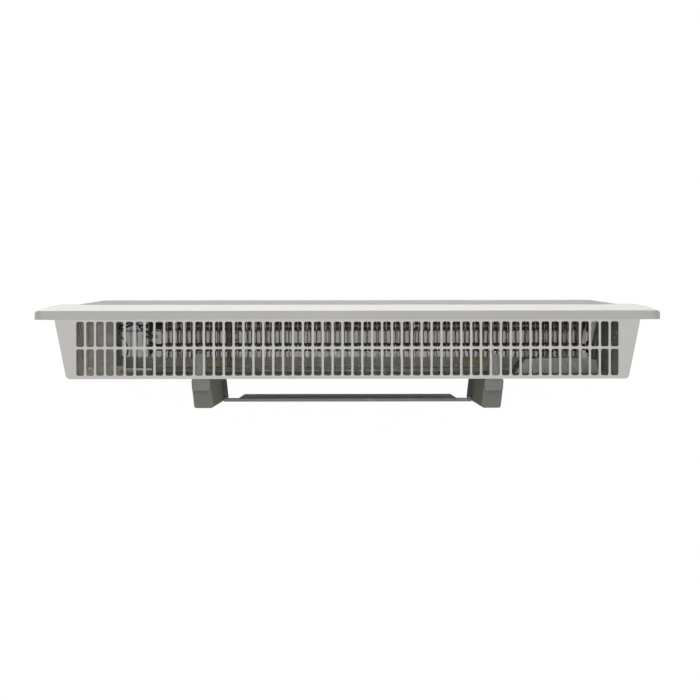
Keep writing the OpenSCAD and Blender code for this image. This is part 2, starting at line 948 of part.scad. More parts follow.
// Upright block on the side wall from x0 outwards, with a rounded outline of a width and a height
module side_block(x0, t, w, h, r) {
    translate([x0, 0, 0]) rotate([90, 0, 90])
        linear_extrude(t)
            polygon(round_rect([-w / 2, -h / 2], [w / 2, h / 2], r));
}

module fascia_window() {
    on_side(fascia_z)
        side_block(-4, 8, fascia_w - 10, fascia_h - 10, 2);
}

module control_fascia() {
    color("white") difference() {
        union() {
            on_side(fascia_z) {
                side_block(0, fascia_t, fascia_w, fascia_h, 3);
                side_block(-2, 2, fascia_w - 10 - 2 * running_gap, fascia_h - 10 - 2 * running_gap, 2);
            }
        }
        on_side(knob_z)
            translate([-3, 0, 0]) rotate([0, 90, 0])
                cylinder(h = fascia_t + 4, r = bush_outer_r + running_gap);
        on_side(switch_z)
            side_block(-3, fascia_t + 4, 2 * switch_half_w + 2 * running_gap,
                2 * switch_half_h + 2 * running_gap, 0.5);
    }
}

module thermostat_body() {
    color("sienna") on_side(knob_z) difference() {
        union() {
            side_block(-thermostat_in, thermostat_t, thermostat_w, thermostat_w, 2);
            translate([-3, 0, 0]) rotate([0, 90, 0])
                cylinder(h = 3 + fascia_t, r = bush_outer_r);
        }
        translate([-shaft_in, 0, 0]) rotate([0, 90, 0])
            cylinder(h = shaft_in + fascia_t + 1, r = shaft_r + running_gap);
    }
}

module thermostat_shaft() {
    color("silver") on_side(knob_z)
        translate([-shaft_in + free_gap, 0, 0]) rotate([0, 90, 0])
            cylinder(h = shaft_in - free_gap + fascia_t + knob_gap + knob_h - knob_roof, r = shaft_r);
}

module thermostat_knob() {
    color("white") on_side(knob_z)
        translate([fascia_t + knob_gap, 0, 0]) rotate([0, 90, 0]) difference() {
            union() {
                cylinder(h = knob_skirt, r = knob_r);
                translate([0, 0, knob_skirt])
                    cylinder(h = knob_h - knob_skirt, r1 = knob_r - 1.5, r2 = knob_r - 2.5);
            }
            translate([0, 0, -1])
                cylinder(h = knob_h - knob_roof + 1, r = shaft_r + running_gap);
            translate([-knob_r + 1, -pointer_w / 2, knob_h - pointer_deep])
                cube([knob_r - 4, pointer_w, pointer_deep + 1]);
            for (a = [0:grip_step:360 - grip_step])
                rotate([0, 0, a]) translate([knob_r - 1.2, 0, knob_skirt + 0.5])
                    cylinder(h = knob_h, r = grip_r);
        }
}

module switch_body() {
    color("black") on_side(switch_z) difference() {
        union() {
            side_block(-switch_depth, switch_depth + fascia_t, 2 * switch_half_w, 2 * switch_half_h, 0.5);
            side_block(fascia_t, bezel_t, 2 * (switch_half_w + bezel_w), 2 * (switch_half_h + bezel_w), 1.5);
            for (y = [-blade_y, blade_y], z = [-blade_z, blade_z])
                translate([-switch_depth - blade_len, y - blade_t / 2, z - blade_w / 2])
                    cube([blade_len + 1, blade_t, blade_w]);
        }
        for (s = [-1, 1])
            translate([-well_depth, s * (rocker_rib / 2 + rocker_w / 2 + free_gap) - rocker_w / 2 - free_gap,
                -switch_half_h + switch_wall])
                cube([well_depth + fascia_t + bezel_t + 1, rocker_w + 2 * free_gap,
                    2 * (switch_half_h - switch_wall)]);
        translate([rocker_pivot, 0, 0]) rotate([90, 0, 0])
            cylinder(h = 2 * switch_half_w + 2, r = rocker_pin_r + running_gap, center = true);
    }
}

// One rocker with its pin, on the side s of the switch's rib, at its off position
module rocker(s) {
    y = s * (rocker_rib / 2 + free_gap + rocker_w / 2);
    h = rocker_h / 2;
    on_side(switch_z) translate([rocker_pivot, y, 0]) rotate([0, rocker_tilt / 2, 0]) {
        rotate([90, 0, 0])
            linear_extrude(rocker_w, center = true)
                polygon([[3.6, h], [2.4, h * 0.5], [1.9, 0], [2.4, -h * 0.5], [3.6, -h],
                         [-1.2, -h], [-3.6, -h * 0.5], [-4.4, 0], [-3.6, h * 0.5], [-1.2, h]]);
        rotate([90, 0, 0])
            cylinder(h = rocker_w + 2 * free_gap + 1, r = rocker_pin_r, center = true);
    }
}

module rocker_mains() {
    color("red") rocker(-1);
}

module rocker_half_power() {
    color("black") rocker(1);
}

/* Supply and wiring */

block_drop = 138;
block_x = side_x - 16;
block_w = 24;
block_t = 9;
block_h = 18;
pillar_pitch = 8.5;
pillar_w = 6.8;
pillar_h = 14;
pillar_t = 6;
pillar_screw_r = 2;
gland_drop = 176;
gland_x = side_x - 16;
gland_r = 7;
gland_flange_r = 9.5;
gland_bore_r = 4;
gland_out = 2.5;
gland_in = 8;
gland_nut_r = 10.5;
stud_x = side_x - 20;
stud_drop = 96;
stud_r = 2;
stud_len = 12;
washer_r = 4.5;
washer_t = 1;
stud_nut_r = 3.8;
stud_nut_t = 3.2;
wire_r = 1.3;
capillary_r = 0.9;
capillary_room = 1;
capillary_x = side_x - 16;
capillary_depth = 82;
bulb_r = 3;
bulb_h = 70;
bulb_depth = 46;
bulb_low = bottom_z + 13;
bulb_top = bulb_low + bulb_h;
bulb_x = case_half(bulb_depth) - (sheet + bulb_r + free_gap) / cos(side_angle);

module gland_hole() {
    translate([gland_x, -back_gap - sheet - 1, top_z - gland_drop]) rotate([-90, 0, 0])
        cylinder(h = sheet + 2, r = gland_r + running_gap);
}

module cord_gland() {
    color("black") translate([gland_x, -back_gap, top_z - gland_drop]) rotate([-90, 0, 0]) difference() {
        union() {
            cylinder(h = gland_out, r1 = gland_flange_r, r2 = gland_flange_r - 1.5);
            translate([0, 0, -gland_in])
                cylinder(h = gland_in, r = gland_r);
            translate([0, 0, -gland_in + 1])
                cylinder(h = gland_in - 1 - sheet, r = gland_nut_r, $fn = 6);
        }
        translate([0, 0, -gland_in - 1])
            cylinder(h = gland_in + gland_out + 2, r = gland_bore_r);
    }
}

module terminal_block() {
    front = block_t + pillar_t;
    color("ivory") translate([block_x, -back_gap - sheet, top_z - block_drop]) difference() {
        union() {
            translate([-block_w / 2, -block_t, -block_h / 2])
                cube([block_w, block_t, block_h]);
            for (x = [-pillar_pitch, 0, pillar_pitch])
                translate([x - pillar_w / 2, -front, -pillar_h / 2])
                    cube([pillar_w, pillar_t + 1, pillar_h]);
        }
        for (x = [-pillar_pitch, 0, pillar_pitch]) {
            translate([x, -5, 0])
                cylinder(h = 30, r = wire_r + running_gap);
            translate([x, -front - 1, 0]) rotate([-90, 0, 0])
                cylinder(h = 5, r = pillar_screw_r);
        }
    }
}

// Earth stud with its nut and washer, on the casing's back inside the compartment
module earth_stud() {
    color("goldenrod") translate([stud_x, -back_gap - sheet, top_z - stud_drop]) rotate([90, 0, 0]) {
        cylinder(h = stud_len, r = stud_r);
        cylinder(h = washer_t, r = washer_r);
        translate([0, 0, washer_t])
            cylinder(h = stud_nut_t, r = stud_nut_r, $fn = 6);
    }
}

// Smooth route through points p, with n steps between two of them
function route(p, n = 4) =
    let (last = len(p) - 1,
         q = concat([2 * p[0] - p[1]], p, [2 * p[last] - p[last - 1]]))
    concat(
        [for (i = [1:last], k = [0:n - 1])
            let (t = k / n)
            0.5 * (2 * q[i] + (q[i + 1] - q[i - 1]) * t
                + (2 * q[i - 1] - 5 * q[i] + 4 * q[i + 1] - q[i + 2]) * t * t
                + (3 * q[i] - q[i - 1] - 3 * q[i + 1] + q[i + 2]) * t * t * t)],
        [p[last]]);

function unit(v) = v / norm(v);

// Tube of radius r along the points p
module tube(p, r, sides = 8) {
    n = len(p);
    rings = [for (i = [0:n - 1])
        let (t = unit(p[min(i + 1, n - 1)] - p[max(i - 1, 0)]),
             u = unit(cross(t, [0.31, 0.17, 0.94])),
             v = cross(t, u))
        for (k = [0:sides - 1])
            p[i] + r * (cos(360 * k / sides) * u + sin(360 * k / sides) * v)];
    walls = [for (i = [0:n - 2], k = [0:sides - 1])
        let (a = i * sides + k,
             b = i * sides + (k + 1) % sides)
        each [[a, a + sides, b], [b, a + sides, b + sides]]];
    ends = [for (k = [1:sides - 2])
        each [[0, k, k + 1],
              [(n - 1) * sides, (n - 1) * sides + k + 1, (n - 1) * sides + k]]];
    polyhedron(rings, concat(walls, ends));
}

// Points given by their distance in from the casing's side, their depth and their distance below the top
function from_top(p) = [for (q = p) [side_x - q[0], -q[1], top_z - q[2]]];

// Points given by their distance past the right-hand end of the rods, their depth and their height
// above the rods
function from_rods(p) = [for (q = p) [rod_right + q[0], -q[1], rod_z + q[2]]];

blue_route = concat(
    from_top([[16, 35.7, 128.7], [16, 37, 118], [20, 50, 104], [25, 68, 108], [27.5, 77, 130],
        [27.5, 78.5, 158], [31.5, 78.4, 168.4], [37, 79, 178], [41, 83, 198]]),
    from_rods([[13, 85, 69], [10.5, 79, 34], [1, rod_mid + 2, 11], [-1, rod_mid, 1.9]]));
brown_route = concat(
    from_top([[7.5, 35.7, 128.7], [8, 38, 116], [16, 54, 100], [23, 72, 106], [27, 82, 135],
        [27, 83, 162], [31.5, 81.6, 171.6], [34.5, 84.5, 186]]),
    from_rods([[21, 86.5, 74], [22, 86, 29], [15, rod_front + 1, 11], [12.5, rod_front, 1.9]]));
earth_route = from_top([[24.5, 35.7, 128.7], [24.5, 37, 120], [22, 40, 110], [20, 39.5, 98.3]]);
capillary_route = concat(
    from_top([[7, 72, 141.6], [11, 80, 152], [16, 82, 172], [16, 82, 196]]),
    [for (q = [[22, 76, 105], [28, 64, 68], [26, 50, 38], [14, 46, 18]])
        [side_x - q[0], -q[1], bulb_top + q[2]]],
    [[bulb_x, -bulb_depth, bulb_top + 6], [bulb_x, -bulb_depth, bulb_top + free_gap]]);

module wire_blue() {
    color("mediumblue") tube(route(blue_route), wire_r);
}

module wire_brown() {
    color("saddlebrown") tube(route(brown_route), wire_r);
}

module wire_earth() {
    color("yellowgreen") tube(route(earth_route), wire_r);
}

module capillary() {
    color("black") tube(route(capillary_route, 3), capillary_r, 6);
}

module sensor_bulb() {
    color("peru") translate([bulb_x, -bulb_depth, bulb_low])
        cylinder(h = bulb_h, r = bulb_r);
}

bracket_plate();
bracket_arm_left();
bracket_arm_right();
hook_left();
hook_right();
rear_tray();
grip_pocket();
top_grille();
bottom_grille();
front_panel();
panel_screws();
lower_catch_left();
lower_catch_right();
rear_shield();
front_shield();
heating_rod_front();
heating_rod_rear();
element_fins();
element_support_left();
element_support_right();
ceramic_bushes();
terminal_nuts();
centre_terminal();
post_link();
jumper_link();
cutout_strap();
thermal_cutout();
compartment_cover();
compartment_wall();
cover_screws();
control_fascia();
thermostat_body();
thermostat_shaft();
thermostat_knob();
switch_body();
rocker_mains();
rocker_half_power();
terminal_block();
cord_gland();
earth_stud();
capillary();
sensor_bulb();
wire_blue();
wire_brown();
wire_earth();
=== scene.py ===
"""Looks of a wall-mounted convector heater, built over its CAD frame."""

import json
import math

import bpy
from bpy.props import FloatProperty, FloatVectorProperty, IntProperty, PointerProperty
from mathutils import Matrix, Vector


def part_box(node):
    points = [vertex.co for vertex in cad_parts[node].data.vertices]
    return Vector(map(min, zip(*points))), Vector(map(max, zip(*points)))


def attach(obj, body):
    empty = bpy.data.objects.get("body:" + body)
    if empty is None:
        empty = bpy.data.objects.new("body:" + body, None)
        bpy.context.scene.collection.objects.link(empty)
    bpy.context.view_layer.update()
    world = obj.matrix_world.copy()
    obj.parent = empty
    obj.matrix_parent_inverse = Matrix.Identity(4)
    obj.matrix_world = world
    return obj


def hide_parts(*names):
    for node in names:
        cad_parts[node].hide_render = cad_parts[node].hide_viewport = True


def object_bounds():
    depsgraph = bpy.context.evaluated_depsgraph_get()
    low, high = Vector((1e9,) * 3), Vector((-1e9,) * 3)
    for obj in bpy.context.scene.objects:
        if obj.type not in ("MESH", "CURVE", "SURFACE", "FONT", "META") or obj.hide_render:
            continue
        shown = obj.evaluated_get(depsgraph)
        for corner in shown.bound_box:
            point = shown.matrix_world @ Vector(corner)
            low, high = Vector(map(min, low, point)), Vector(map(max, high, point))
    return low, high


bl_info = {
    "name": "Convector Heater",
    "version": (1, 0, 0),
    "blender": (4, 5, 0),
    "location": "View3D > Sidebar > Heater",
    "description": "Finishes, small parts and studio for a wall-mounted convector heater",
    "category": "Object",
}

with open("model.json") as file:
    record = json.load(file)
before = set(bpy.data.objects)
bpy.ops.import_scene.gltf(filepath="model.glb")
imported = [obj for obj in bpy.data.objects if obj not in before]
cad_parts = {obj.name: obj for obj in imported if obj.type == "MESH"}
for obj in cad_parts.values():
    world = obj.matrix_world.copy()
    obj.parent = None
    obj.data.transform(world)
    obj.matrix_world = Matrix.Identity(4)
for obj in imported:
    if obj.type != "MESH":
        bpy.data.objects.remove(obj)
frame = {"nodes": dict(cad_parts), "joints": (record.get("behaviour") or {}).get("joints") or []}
CAD_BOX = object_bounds()

MM_PER_M = 1000

# Height of the fascia's face over the knob's axis point, in metres
FASCIA_FACE = 0.00253
DIAL_START = math.radians(-45)
DIAL_SWEEP = math.radians(270)

# Turn of a rocker's face from upright at rest, and the slant of its two halves
ROCKER_REST = math.radians(10)
ROCKER_SLANT = math.radians(14.2)
# Distances of a rocker's marks from its pivot: up or down, then out of its face
ROCKER_MARK_REACH = 0.0072
STROKE_FACE = 0.00302
RING_FACE = 0.0030

# Depth of the compartment's cover under the heater's top, and of the eye over the cover
COVER_DROP = 0.008
EYE_RISE = 0.00186
# Distance of the eye's centre from the right edge of the screws
EYE_INSET = 0.0026

# Place of a weld bead: inside the arm, before the plate and under the plate's top
WELD_INSET = 0.0014
WELD_FRONT = 0.001
WELD_DROP = 0.016
WELD_LENGTH = 0.013

# Distance of the floor's edges from its middle
FLOOR_REACH = 6


# ---------------------------------------------------------------- shader maths


class Value:
    """A shader socket on which ordinary sums add Math nodes."""

    def __init__(self, shading, socket):
        self.shading = shading
        self.socket = socket

    def sum_with(self, operation, first, second):
        return self.shading.node("ShaderNodeMath", {"operation": operation}, first, second)

    def __add__(self, other):
        return self.sum_with("ADD", self, other)

    __radd__ = __add__

    def __sub__(self, other):
        return self.sum_with("SUBTRACT", self, other)

    def __rsub__(self, other):
        return self.sum_with("SUBTRACT", other, self)

    def __mul__(self, other):
        return self.sum_with("MULTIPLY", self, other)

    __rmul__ = __mul__


class Shading:
    """The shader nodes of a material or of the room, all made by one method."""

    def __init__(self, owner):
        owner.use_nodes = True
        self.tree = owner.node_tree
        self.tree.nodes.clear()

    def node(self, kind, settings=None, *values, out=0, **named):
        """Makes a node from its type, its settings and the values or links of its sockets."""
        made = self.tree.nodes.new(kind)
        for key, value in (settings or {}).items():
            if key == "stops":
                ramp = made.color_ramp
                while len(ramp.elements) < len(value):
                    ramp.elements.new(0.5)
                for element, (position, colour) in zip(ramp.elements, value):
                    element.position = position
                    element.color = (*colour, 1.0)
            else:
                setattr(made, key, value)
        sockets = dict(enumerate(values))
        sockets.update((key.replace("_", " "), value) for key, value in named.items())
        for key, value in sockets.items():
            if isinstance(value, Value):
                self.tree.links.new(value.socket, made.inputs[key])
            elif value is not None:
                target = made.inputs[key]
                if target.type == "RGBA" and len(value) == 3:
                    value = (*value, 1.0)
                target.default_value = value
        return None if out is None else Value(self, made.outputs[out])


class Finish(Shading):
    """A procedural material for one finish."""

    def __init__(self, name):
        self.material = bpy.data.materials.new(name)
        super().__init__(self.material)
        self.place = self.node("ShaderNodeTexCoord", out="Object")

    def noise(self, scale, detail=3.0, stretch=(1, 1, 1), roughness=0.5):
        """Noise from 0 to 1, with a scale in cells per metre."""
        where = self.node("ShaderNodeMapping", None, self.place, Scale=stretch)
        return self.node("ShaderNodeTexNoise", None, Vector=where, Scale=scale, Detail=detail,
                         Roughness=roughness)

    def cells(self, scale):
        """Colour of rounded cells, with a scale in cells per metre."""
        return self.node("ShaderNodeTexVoronoi", None, Vector=self.place, Scale=scale, out="Color")

    def axis(self, name):
        """One coordinate of the surface, in metres."""
        return self.node("ShaderNodeSeparateXYZ", None, self.place, out=name)

    def normal_axis(self, name):
        """One part of the surface's direction, from -1 to 1."""
        direction = self.node("ShaderNodeTexCoord", out="Normal")
        return self.node("ShaderNodeSeparateXYZ", None, direction, out=name)

    def steps(self, value, low, high, to_low=0.0, to_high=1.0):
        """Maps a value from one range to another, held at both ends."""
        return self.node("ShaderNodeMapRange", {"interpolation_type": "SMOOTHSTEP"}, value,
                         low, high, to_low, to_high)

    def blend(self, factor, first, second):
        """Mixes two colours by a factor."""
        return self.node("ShaderNodeMix", {"data_type": "RGBA"}, factor,
                         None, None, None, None, None, first, second, out=2)

    def bump(self, height, distance):
        """Normal of a surface raised by a height from 0 to 1 times a distance in metres."""
        return self.node("ShaderNodeBump", None, Height=height, Distance=distance, Strength=1.0)

    def close(self, **inputs):
        """Ends the tree in a principled surface and gives the material."""
        surface = self.node("ShaderNodeBsdfPrincipled", None, out="BSDF", **inputs)
        self.node("ShaderNodeOutputMaterial", None, surface, out=None)
        return self.material


# ---------------------------------------------------------------- finishes


def shaded(colour, factor, lift=0.0):
    """A colour made lighter or darker by one factor and a lift, up to full."""
    return tuple(min(part * factor + lift, 1) for part in colour)


def tinted(colour, *factors):
    """A colour with a factor of its own for red, green and blue."""
    return tuple(part * factor for part, factor in zip(colour, factors))


def powder_coat(name, colour, grain=1.0, roughness=0.5, up_shade=0.0, inside=None, dull=0.65):
    """Baked powder coating: a faint orange peel, a few dull patches and slightly warmer dust,
    and painted shade that darkens the faces that look up by a share. The faces that look into
    the casing may take another colour, painted light that brightens the casing's dim inside."""
    finish = Finish(name)
    patches = finish.noise(9, 4)
    dust = finish.steps(finish.noise(40, 5), 0.45, 0.8)
    tone = finish.blend(dust * 0.35, colour, tinted(colour, 0.93, 0.91, 0.86))
    # Painted shade: faces that look up are blended towards a darker grey.
    if up_shade:
        level = finish.steps(finish.normal_axis("Z"), 0.5, 0.9)
        grey = tinted(colour, dull * 1.02, dull, dull * 0.95)
        tone = finish.blend(level * up_shade, tone, grey)
    # Painted light: faces that look into the casing take the lighter colour given as inside.
    if inside:
        inward = finish.steps(finish.axis("X") * finish.normal_axis("X") * -1, 0.03, 0.06)
        forward = finish.steps(finish.normal_axis("Y") * -1, 0.5, 0.8)
        tone = finish.blend(finish.steps(inward + forward, 0.0, 1.0), tone, inside)
    peel = finish.noise(1100, 2)
    return finish.close(
        Base_Color=tone,
        Roughness=finish.steps(patches, 0.3, 0.7, roughness - 0.05, roughness + 0.07),
        Normal=finish.bump(peel, 0.00005 * grain))


def bracket_paint(name, colour, metallic=0.25, roughness=0.44):
    """Thin satin paint over folded sheet, with rubbed and dusty patches, and a darker olive on the
    faces that look towards the middle, which is painted shade."""
    finish = Finish(name)
    rubbed = finish.steps(finish.noise(60, 6, roughness=0.65), 0.52, 0.72)
    light = shaded(colour, 1.35, 0.02)
    # Painted shade: the faces that look towards the middle take a darker olive tint.
    olive_shade = tinted(colour, 0.66, 0.67, 0.55)
    inner = finish.steps(finish.axis("X") * finish.normal_axis("X") * -1, 0.06, 0.12)
    fine = finish.noise(1500, 2)
    return finish.close(
        Base_Color=finish.blend(inner, finish.blend(rubbed * 0.3, colour, light), olive_shade),
        Metallic=metallic,
        Roughness=finish.steps(rubbed, 0, 1, roughness + 0.06, roughness - 0.06),
        Normal=finish.bump(fine, 0.00004))


def zinc(name, colour):
    """Galvanised steel with its spangle of angular crystals."""
    finish = Finish(name)
    spangle = finish.node("ShaderNodeSeparateColor", None, finish.cells(420), out=0)
    small = finish.node("ShaderNodeSeparateColor", None, finish.cells(1300), out=1)
    tone = finish.steps(spangle * 0.7 + small * 0.3, 0, 1)
    dark = shaded(colour, 0.72)
    light = shaded(colour, 1.25)
    return finish.close(
        Base_Color=finish.blend(tone, dark, light),
        Metallic=0.6,
        Roughness=finish.steps(spangle, 0, 1, 0.4, 0.6),
        Normal=finish.bump(small, 0.00003))


def plain_steel(name, colour, metallic=0.7, roughness=0.45, stretch=(1, 1, 12)):
    """Rolled sheet with fine rolling lines and slight heat staining."""
    finish = Finish(name)
    lines = finish.noise(160, 3, stretch)
    stain = finish.steps(finish.noise(14, 5), 0.4, 0.75)
    warm = tinted(colour, 1.05, 0.92, 0.76)
    return finish.close(
        Base_Color=finish.blend(stain * 0.5, colour, warm),
        Metallic=metallic,
        Roughness=finish.steps(lines, 0.3, 0.7, roughness - 0.07, roughness + 0.1),
        Normal=finish.bump(lines, 0.00003))


def oxidised_rod(name, colour):
    """Sheathed heating rod, browned by heat, with blotches of darker scale."""
    finish = Finish(name)
    scale = finish.steps(finish.noise(120, 6, (0.4, 1, 1), 0.7), 0.4, 0.65)
    brown = tinted(colour, 1.7, 1.35, 1.1)
    return finish.close(
        Base_Color=finish.blend(scale, colour, brown),
        Metallic=0.35,
        Roughness=finish.steps(scale, 0, 1, 0.62, 0.45),
        Normal=finish.bump(scale, 0.00004))


def fin_sheet(name, colour):
    """Thin pressed fins, dulled and tinted by heat towards the rods."""
    finish = Finish(name)
    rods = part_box("heating_rod_front")
    height = (rods[0][2] + rods[1][2]) / 2
    above = finish.axis("Z") - height
    far = finish.steps(above * above, 0.0, 0.00022)
    stain = finish.steps(finish.noise(90, 5), 0.35, 0.7)
    hot = tinted(colour, 0.62, 0.52, 0.42)
    return finish.close(
        Base_Color=finish.blend(stain * 0.3 + far * 0.7, hot, colour),
        Metallic=0.6,
        Roughness=finish.steps(stain, 0, 1, 0.5, 0.36),
        Normal=finish.bump(stain, 0.00003))


def moulded(name, colour, roughness=0.5, grain=0.00004, scale=900):
    """Moulded plastic with a fine spark-eroded grain."""
    finish = Finish(name)
    fine = finish.noise(scale, 3)
    wear = finish.noise(30, 4)
    light = shaded(colour, 1.12, 0.004)
    return finish.close(
        Base_Color=finish.blend(finish.steps(wear, 0.4, 0.7) * 0.6, colour, light),
        Roughness=finish.steps(wear, 0.3, 0.7, roughness - 0.05, roughness + 0.08),
        Normal=finish.bump(fine, grain))


def bright_metal(name, colour, roughness=0.3):
    """Turned or pressed bright metal with faint tarnish."""
    finish = Finish(name)
    tarnish = finish.steps(finish.noise(260, 5), 0.4, 0.75)
    dull = tinted(colour, 0.72, 0.66, 0.6)
    return finish.close(
        Base_Color=finish.blend(tarnish * 0.7, colour, dull),
        Metallic=1.0,
        Roughness=finish.steps(tarnish, 0, 1, roughness, roughness + 0.2),
        Normal=finish.bump(finish.noise(1800, 2), 0.00002))


def insulation(name, colour):
    """Extruded wire insulation, slightly scuffed."""
    finish = Finish(name)
    scuff = finish.steps(finish.noise(300, 4), 0.5, 0.8)
    light = shaded(colour, 1.3, 0.03)
    return finish.close(
        Base_Color=finish.blend(scuff * 0.5, colour, light),
        Roughness=finish.steps(scuff, 0, 1, 0.34, 0.55),
        Normal=finish.bump(scuff, 0.00002))


# ---------------------------------------------------------------- settings


def colour_choice(name, description, value):
    """A colour setting in linear values."""
    return FloatVectorProperty(name=name, description=description, subtype="COLOR", size=3,
                               min=0, max=1, default=value)


class HeaterColours(bpy.types.PropertyGroup):
    """Colours of the painted, plain and moulded pieces."""

    casing: colour_choice("Casing", "Powder coat of the casing and its grilles",
                          (0.60, 0.59, 0.565))
    # Painted light: lighter than the casing's paint, standing in for light inside the casing.
    inside: colour_choice("Inside", "Inner faces of the casing", (0.80, 0.80, 0.79))
    panel: colour_choice("Front panel", "Powder coat of the front panel", (0.66, 0.655, 0.64))
    bracket: colour_choice("Bracket", "Paint of the wall bracket", (0.145, 0.145, 0.131))
    zinc: colour_choice("Hooks", "Zinc coating of the hooks", (0.132, 0.135, 0.132))
    lining: colour_choice("Lining", "Plain sheet inside the casing", (0.62, 0.62, 0.60))
    shield: colour_choice("Rear shield", "Sheet that shields the casing's back", (0.27, 0.27, 0.26))
    catch: colour_choice("Catches", "Paint of the lower catches", (0.34, 0.33, 0.20))
    fins: colour_choice("Fins", "Fins of the heating element", (0.46, 0.455, 0.44))
    rods: colour_choice("Rods", "Heating rods", (0.10, 0.076, 0.068))
    cover: colour_choice("Cover", "Cover of the control compartment", (0.152, 0.150, 0.137))
    plastic: colour_choice("Controls", "White plastic of the fascia and the knob",
                           (0.70, 0.69, 0.66))


class HeaterSizes(bpy.types.PropertyGroup):
    """Sizes of the small parts added to the frame."""

    wire: FloatProperty(name="Wire radius", description="Radius of the inner wires", default=0.0013,
                        min=0.0005, max=0.002, unit="LENGTH")
    marks: IntProperty(name="Dial marks", description="Number of marks round the knob", default=11,
                       min=3, max=31)
    mark_ring: FloatProperty(name="Mark ring", description="Radius of the ring of dial marks",
                             default=0.0172, min=0.015, max=0.0195, unit="LENGTH")
    lead: FloatProperty(name="Lead radius", description="Radius of the lead along the rear shield",
                        default=0.0006, min=0.0003, max=0.001, unit="LENGTH")
    spring: FloatProperty(name="Spring radius", description="Radius of the spring wire",
                          default=0.0005, min=0.0003, max=0.001, unit="LENGTH")


class HeaterStudio(bpy.types.PropertyGroup):
    """Camera, lamps and floor."""

    lens: FloatProperty(name="Lens", description="Focal length of the camera in millimetres",
                        default=92.77, min=20, max=200, unit="CAMERA")
    camera: FloatVectorProperty(name="Camera", description="Place of the camera", subtype="XYZ",
                                size=3, default=(-0.0008, -0.0847, 2.047), unit="LENGTH")
    aim: FloatVectorProperty(name="Aim", description="Turns of the camera from straight down, "
                             "about its own right, its up and its view", subtype="EULER", size=3,
                             default=tuple(map(math.radians, (-0.812, -0.056, -0.066))))
    front_lamp: FloatProperty(name="Front lamp", description="Power of the lamp before the panel",
                              default=44, min=0, max=500, unit="POWER")
    top_lamp: FloatProperty(name="Top lamp", description="Power of the lamp just behind the camera",
                            default=8, min=0, max=500, unit="POWER")
    rear_lamp: FloatProperty(name="Rear lamp", description="Power of the lamp behind the bracket",
                             default=16, min=0, max=500, unit="POWER")
    low_lamp: FloatProperty(name="Low lamp", description="Power of the lamp under the air inlet",
                            default=0.22, min=0, max=20, unit="POWER")
    room: FloatProperty(name="Room light", description="Strength of the light from the room",
                        default=0.36, min=0, max=2)
    floor: FloatProperty(name="Floor", description="Height of the floor", default=-0.19,
                         unit="LENGTH")


# ---------------------------------------------------------------- making


def dress(finish, *nodes):
    """Gives CAD nodes a finish."""
    for name in nodes:
        mesh = frame["nodes"][name].data
        for slot in range(max(len(mesh.materials), 1)):
            if slot < len(mesh.materials):
                mesh.materials[slot] = finish
            else:
                mesh.materials.append(finish)


def enter(piece, body, replaced=()):
    """Brings a finished piece into the scene and lets it ride on a body."""
    bpy.context.scene.collection.objects.link(piece)
    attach(piece, body)
    if replaced:
        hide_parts(*replaced)


class Shape:
    """A Geometry Nodes tree, with named inputs, that becomes a plain mesh."""

    def __init__(self, name, **inputs):
        self.tree = bpy.data.node_groups.new(name, "GeometryNodeTree")
        kinds = {float: "NodeSocketFloat", int: "NodeSocketInt", Vector: "NodeSocketVector"}
        interface = self.tree.interface
        interface.new_socket("Geometry", in_out="INPUT", socket_type="NodeSocketGeometry")
        self.values = {}
        for key, value in inputs.items():
            socket = interface.new_socket(key.replace("_", " "), in_out="INPUT",
                                          socket_type=kinds[type(value)])
            self.values[socket.identifier] = value
        interface.new_socket("Geometry", in_out="OUTPUT", socket_type="NodeSocketGeometry")
        self.inputs = self.tree.nodes.new("NodeGroupInput")

    def given(self, name):
        """The socket of a named input."""
        return self.inputs.outputs[name.replace("_", " ")]

    def node(self, kind, settings=None, out=0, **named):
        """Makes a node from its type, its settings and the values or links of its sockets."""
        made = self.tree.nodes.new(kind)
        for key, value in (settings or {}).items():
            setattr(made, key, value)
        for key, value in named.items():
            socket = made.inputs[key.replace("_", " ")]
            if isinstance(value, bpy.types.NodeSocket):
                self.tree.links.new(value, socket)
            else:
                socket.default_value = value
        return made.outputs[out]

    def finish(self, name, geometry, finish, start=None):
        """Ends the tree and gives its result as a piece with a plain mesh."""
        solid = self.node("GeometryNodeRealizeInstances", Geometry=geometry)
        painted = self.node("GeometryNodeSetMaterial", Geometry=solid, Material=finish)
        end = self.tree.nodes.new("NodeGroupOutput")
        self.tree.links.new(painted, end.inputs[0])
        start = start or bpy.data.meshes.new(name + "_start")
        carrier = bpy.data.objects.new(name + "_carrier", start)
        bpy.context.scene.collection.objects.link(carrier)
        modifier = carrier.modifiers.new("shape", "NODES")
        modifier.node_group = self.tree
        for identifier, value in self.values.items():
            modifier[identifier] = tuple(value) if isinstance(value, Vector) else value
        bpy.context.view_layer.update()
        seen = carrier.evaluated_get(bpy.context.evaluated_depsgraph_get())
        mesh = bpy.data.meshes.new_from_object(seen)
        carrier.modifiers.clear()
        bpy.data.objects.remove(carrier)
        mesh.name = name
        if not mesh.materials:
            mesh.materials.append(finish)
        return bpy.data.objects.new(name, mesh)


def tube_along(name, points, radius, finish, sides=14):
    """A smooth tube along points, with closed ends."""
    start = bpy.data.meshes.new(name + "_path")
    start.from_pydata(points, [(i, i + 1) for i in range(len(points) - 1)], [])
    shape = Shape(name, Radius=radius, Sides=sides)
    path = shape.node("GeometryNodeMeshToCurve", Mesh=shape.given("Geometry"))
    ring = shape.node("GeometryNodeCurvePrimitiveCircle", Resolution=shape.given("Sides"),
                      Radius=shape.given("Radius"))
    tube = shape.node("GeometryNodeCurveToMesh", Curve=path, Profile_Curve=ring, Fill_Caps=True)
    piece = shape.finish(name, tube, finish, start)
    piece.data.shade_smooth()
    return piece


